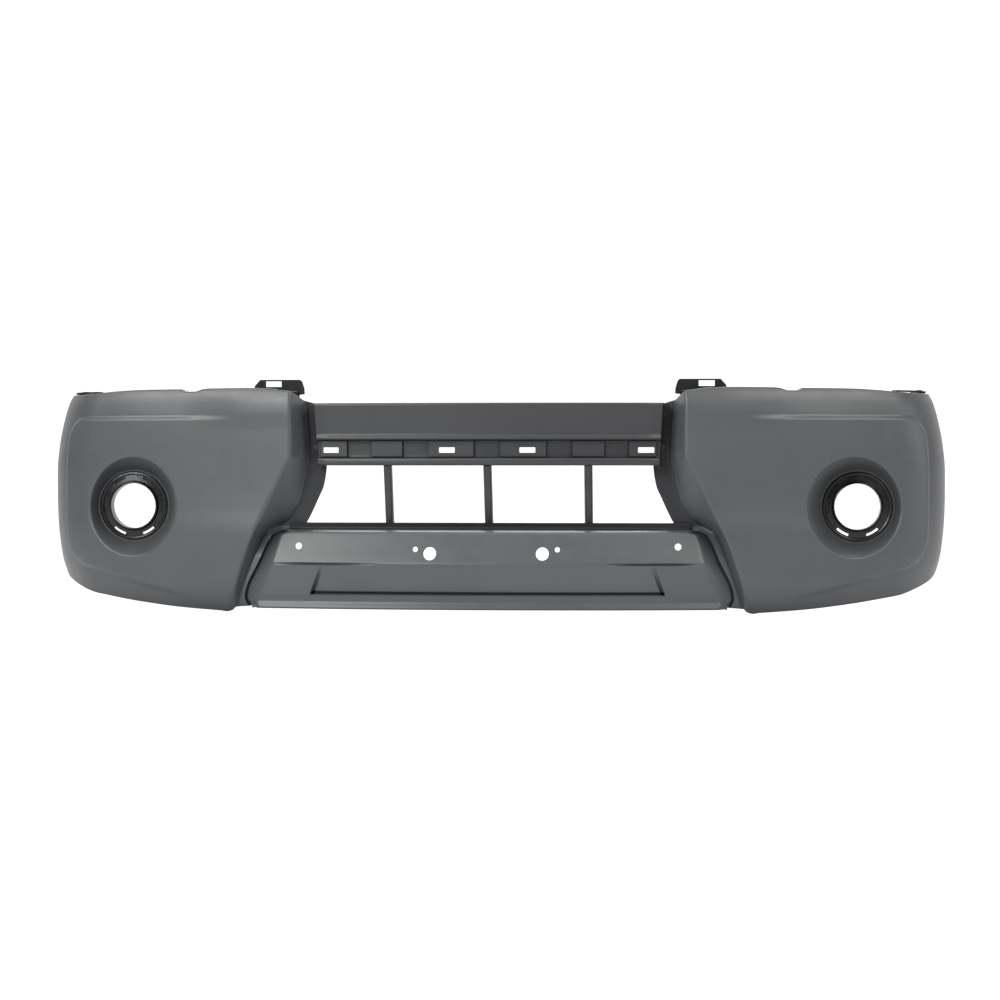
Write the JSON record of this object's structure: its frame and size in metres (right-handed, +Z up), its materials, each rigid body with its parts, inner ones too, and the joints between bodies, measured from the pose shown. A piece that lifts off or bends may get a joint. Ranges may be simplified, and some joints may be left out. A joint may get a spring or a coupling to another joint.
{
  "type": "front bumper cover",
  "caption": "Dark grey front bumper cover with wrap-round wings, recessed round fog lamp bowls, a slotted upper beam, an open grille with slim struts and a lower apron with a number plate tray.",
  "frame": {"origin": "under the middle of the cover's bounding box, at the height of the lowest hem", "axes": "+X towards the vehicle's left, -Y towards the vehicle's front, +Z up"},
  "size_m": [1.8, 0.4967, 0.4535],
  "materials": {
    "wing_primer": "satin dark grey primer on moulded plastic",
    "beam_primer": "satin dark grey primer",
    "apron_primer": "satin dark grey primer",
    "strut_black": "unpainted black plastic",
    "ring_black": "semi gloss black plastic",
    "bracket_black": "grained black plastic",
    "retainer_black": "grained black plastic",
    "rivet_black": "smooth black plastic",
    "screw_steel": "zinc plated steel"
  },
  "bodies": {
    "root": {"wing_left": "wing_primer", "wing_right": "wing_primer", "upper_beam": "beam_primer", "lower_apron": "apron_primer", "strut_left": "strut_black", "strut_centre": "strut_black", "strut_right": "strut_black", "fog_ring_left": "ring_black", "fog_ring_right": "ring_black", "ring_screws_left": "screw_steel", "ring_screws_right": "screw_steel", "seam_screws_left": "screw_steel", "seam_screws_right": "screw_steel", "bracket_left": "bracket_black", "bracket_right": "bracket_black", "bracket_sleeves_left": "rivet_black", "bracket_sleeves_right": "rivet_black", "side_retainer_left": "retainer_black", "side_retainer_right": "retainer_black", "retainer_sleeves_left": "rivet_black", "retainer_sleeves_right": "rivet_black"},
    "bracket_pin_left_inner": {"bracket_pin_left_inner": "rivet_black"},
    "bracket_pin_left_outer": {"bracket_pin_left_outer": "rivet_black"},
    "bracket_pin_right_inner": {"bracket_pin_right_inner": "rivet_black"},
    "bracket_pin_right_outer": {"bracket_pin_right_outer": "rivet_black"},
    "retainer_pin_left_front": {"retainer_pin_left_front": "rivet_black"},
    "retainer_pin_left_rear": {"retainer_pin_left_rear": "rivet_black"},
    "retainer_pin_right_front": {"retainer_pin_right_front": "rivet_black"},
    "retainer_pin_right_rear": {"retainer_pin_right_rear": "rivet_black"}
  },
  "joints": [
    {"name": "bracket_pin_left_inner_pull", "type": "slide", "parent": "root", "child": "bracket_pin_left_inner", "axis": [0, 1, 0], "range_m": [0, 0.006]},
    {"name": "bracket_pin_left_outer_pull", "type": "slide", "parent": "root", "child": "bracket_pin_left_outer", "axis": [0, 1, 0], "range_m": [0, 0.006]},
    {"name": "bracket_pin_right_inner_pull", "type": "slide", "parent": "root", "child": "bracket_pin_right_inner", "axis": [0, 1, 0], "range_m": [0, 0.006]},
    {"name": "bracket_pin_right_outer_pull", "type": "slide", "parent": "root", "child": "bracket_pin_right_outer", "axis": [0, 1, 0], "range_m": [0, 0.006]},
    {"name": "retainer_pin_left_front_pull", "type": "slide", "parent": "root", "child": "retainer_pin_left_front", "axis": [0, 0, 1], "range_m": [0, 0.006]},
    {"name": "retainer_pin_left_rear_pull", "type": "slide", "parent": "root", "child": "retainer_pin_left_rear", "axis": [0, 0, 1], "range_m": [0, 0.006]},
    {"name": "retainer_pin_right_front_pull", "type": "slide", "parent": "root", "child": "retainer_pin_right_front", "axis": [0, 0, 1], "range_m": [0, 0.006]},
    {"name": "retainer_pin_right_rear_pull", "type": "slide", "parent": "root", "child": "retainer_pin_right_rear", "axis": [0, 0, 1], "range_m": [0, 0.006]}
  ]
}
